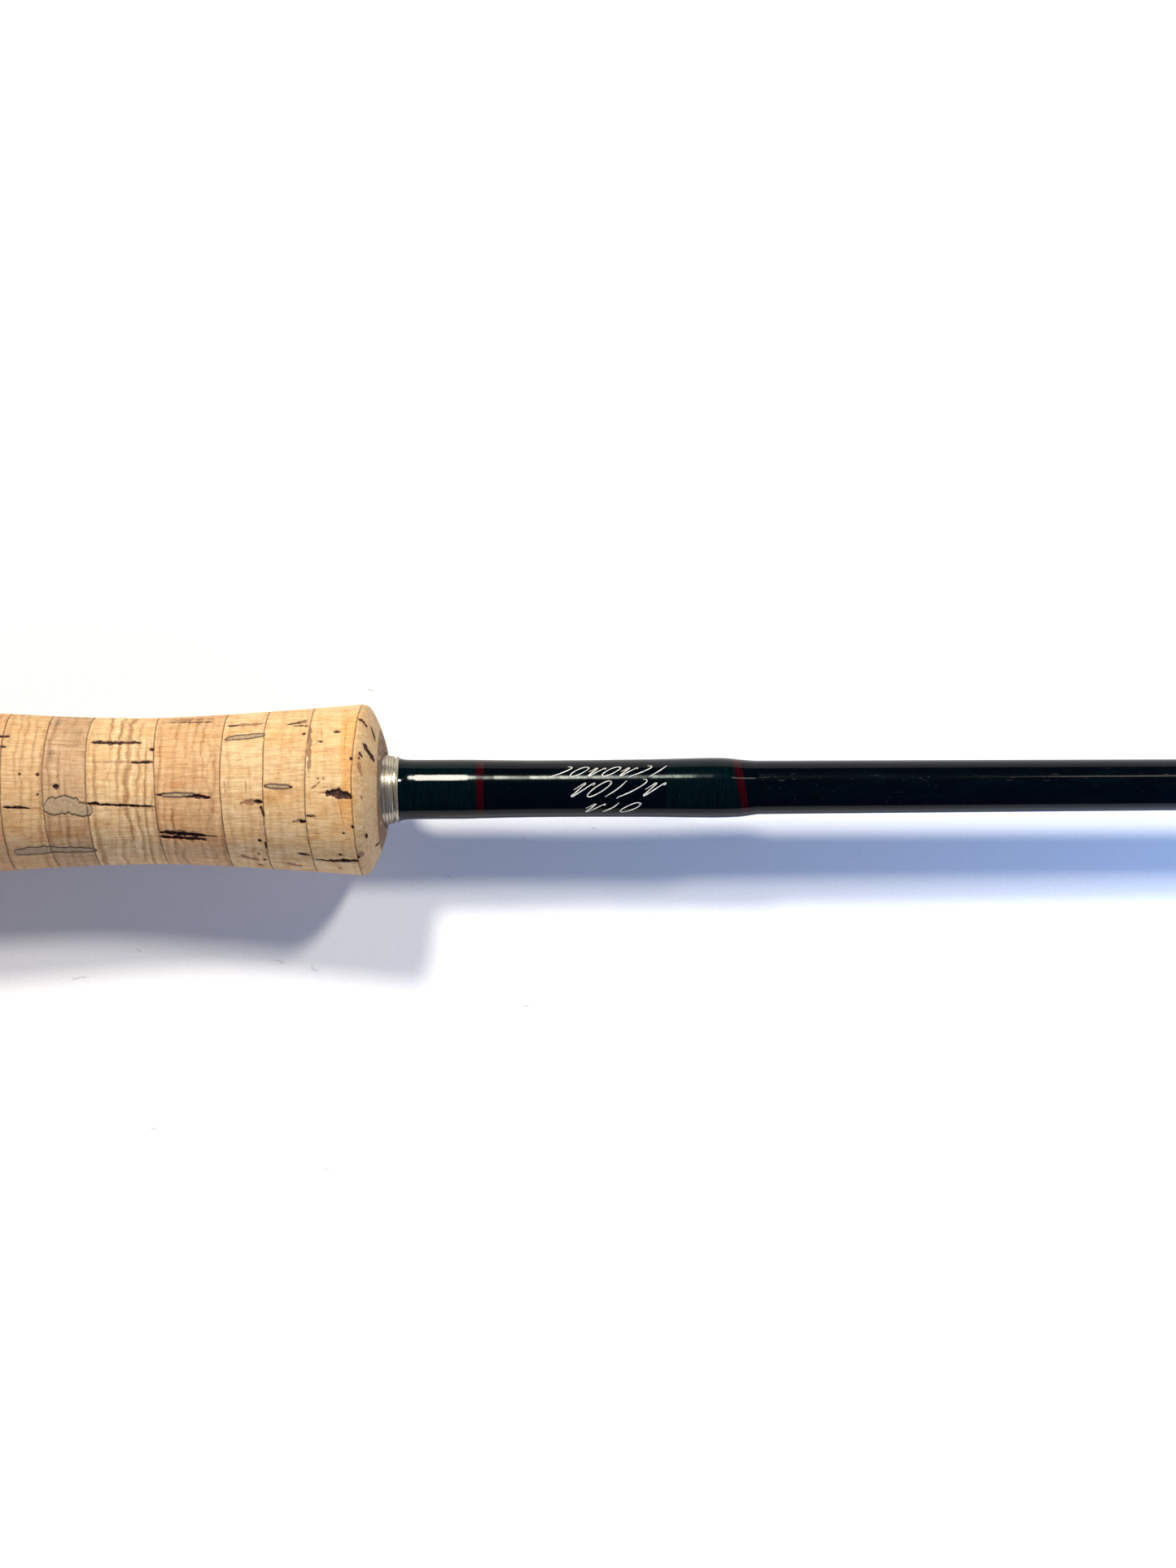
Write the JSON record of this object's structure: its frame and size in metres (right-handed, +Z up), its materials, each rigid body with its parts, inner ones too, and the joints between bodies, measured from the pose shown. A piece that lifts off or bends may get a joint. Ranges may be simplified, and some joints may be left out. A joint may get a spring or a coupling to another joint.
{
  "type": "fly fishing rod",
  "caption": "Two-piece fly rod with a shaped cork grip, screw-locking reel seat, tapered tubular blank, spigot ferrule and wire line guides.",
  "frame": {"origin": "centre of the butt cap's flat end face, on the rod's axis", "axes": "+X along the rod towards the tip, +Y towards the reel and the line guides, +Z up with the rod lying on its side"},
  "size_m": [2.7432, 0.0344, 0.0268],
  "materials": {
    "nickel_silver": "turned and polished nickel silver",
    "barrel_metal": "satin anodised thread",
    "spacer_wood": "oiled figured hardwood",
    "cork": "sanded natural cork rings, glued",
    "blank": "dark green gloss over graphite",
    "green_thread": "dark green thread under clear coat",
    "red_thread": "dark red thread under clear coat",
    "clear_coat": "clear coat over the signature",
    "guide_steel": "polished wire",
    "ceramic": "polished black ceramic",
    "paper_tape": "wound paper tape"
  },
  "bodies": {
    "root": {"butt_blank": "blank", "butt_cap": "nickel_silver", "butt_ferrule_wrap": "green_thread", "check_wrap": "green_thread", "cork_ring_01": "cork", "cork_ring_02": "cork", "cork_ring_03": "cork", "cork_ring_04": "cork", "cork_ring_05": "cork", "cork_ring_06": "cork", "cork_ring_07": "cork", "cork_ring_08": "cork", "cork_ring_09": "cork", "cork_ring_10": "cork", "cork_ring_11": "cork", "cork_ring_12": "cork", "cork_ring_13": "cork", "cork_ring_14": "cork", "cork_ring_15": "cork", "cork_ring_16": "cork", "cork_ring_17": "cork", "cork_ring_18": "cork", "cork_ring_19": "cork", "cork_ring_20": "cork", "cork_ring_21": "cork", "ferrule_spigot": "blank", "front_arbor": "paper_tape", "front_hood": "nickel_silver", "lower_trim_band": "red_thread", "rear_arbor": "paper_tape", "signature_coat": "clear_coat", "snake_guide_1": "guide_steel", "stripper_front_wrap": "green_thread", "stripper_rear_wrap": "green_thread", "stripping_guide_frame": "guide_steel", "stripping_guide_ring": "ceramic", "threaded_barrel": "barrel_metal", "upper_trim_band": "red_thread", "upper_wrap": "green_thread", "winding_check": "nickel_silver", "wood_spacer": "spacer_wood"},
    "sliding_hood": {"sliding_hood": "nickel_silver"},
    "locking_nut": {"locking_nut": "nickel_silver"},
    "tip_section": {"snake_guide_2": "guide_steel", "snake_guide_3": "guide_steel", "snake_guide_4": "guide_steel", "snake_guide_5": "guide_steel", "snake_guide_6": "guide_steel", "snake_guide_7": "guide_steel", "snake_guide_8": "guide_steel", "snake_guide_9": "guide_steel", "tip_blank": "blank", "tip_ferrule_wrap": "green_thread", "tip_top": "guide_steel", "tip_top_wrap": "green_thread"}
  },
  "joints": [
    {"name": "nut_turn", "type": "hinge", "parent": "sliding_hood", "child": "locking_nut", "pos_m": [0.0205, 0, 0], "axis": [1, 0, 0], "range_deg": [0, 3240]},
    {"name": "hood_slide", "type": "slide", "parent": "root", "child": "sliding_hood", "axis": [1, 0, 0], "range_m": [0, 0.018]},
    {"name": "ferrule_slide", "type": "slide", "parent": "root", "child": "tip_section", "axis": [1, 0, 0], "range_m": [0, 0.08]}
  ],
  "couplings": [
    {"joint": "hood_slide", "follows": "nut_turn", "m_per_rad": 0.00031831}
  ]
}
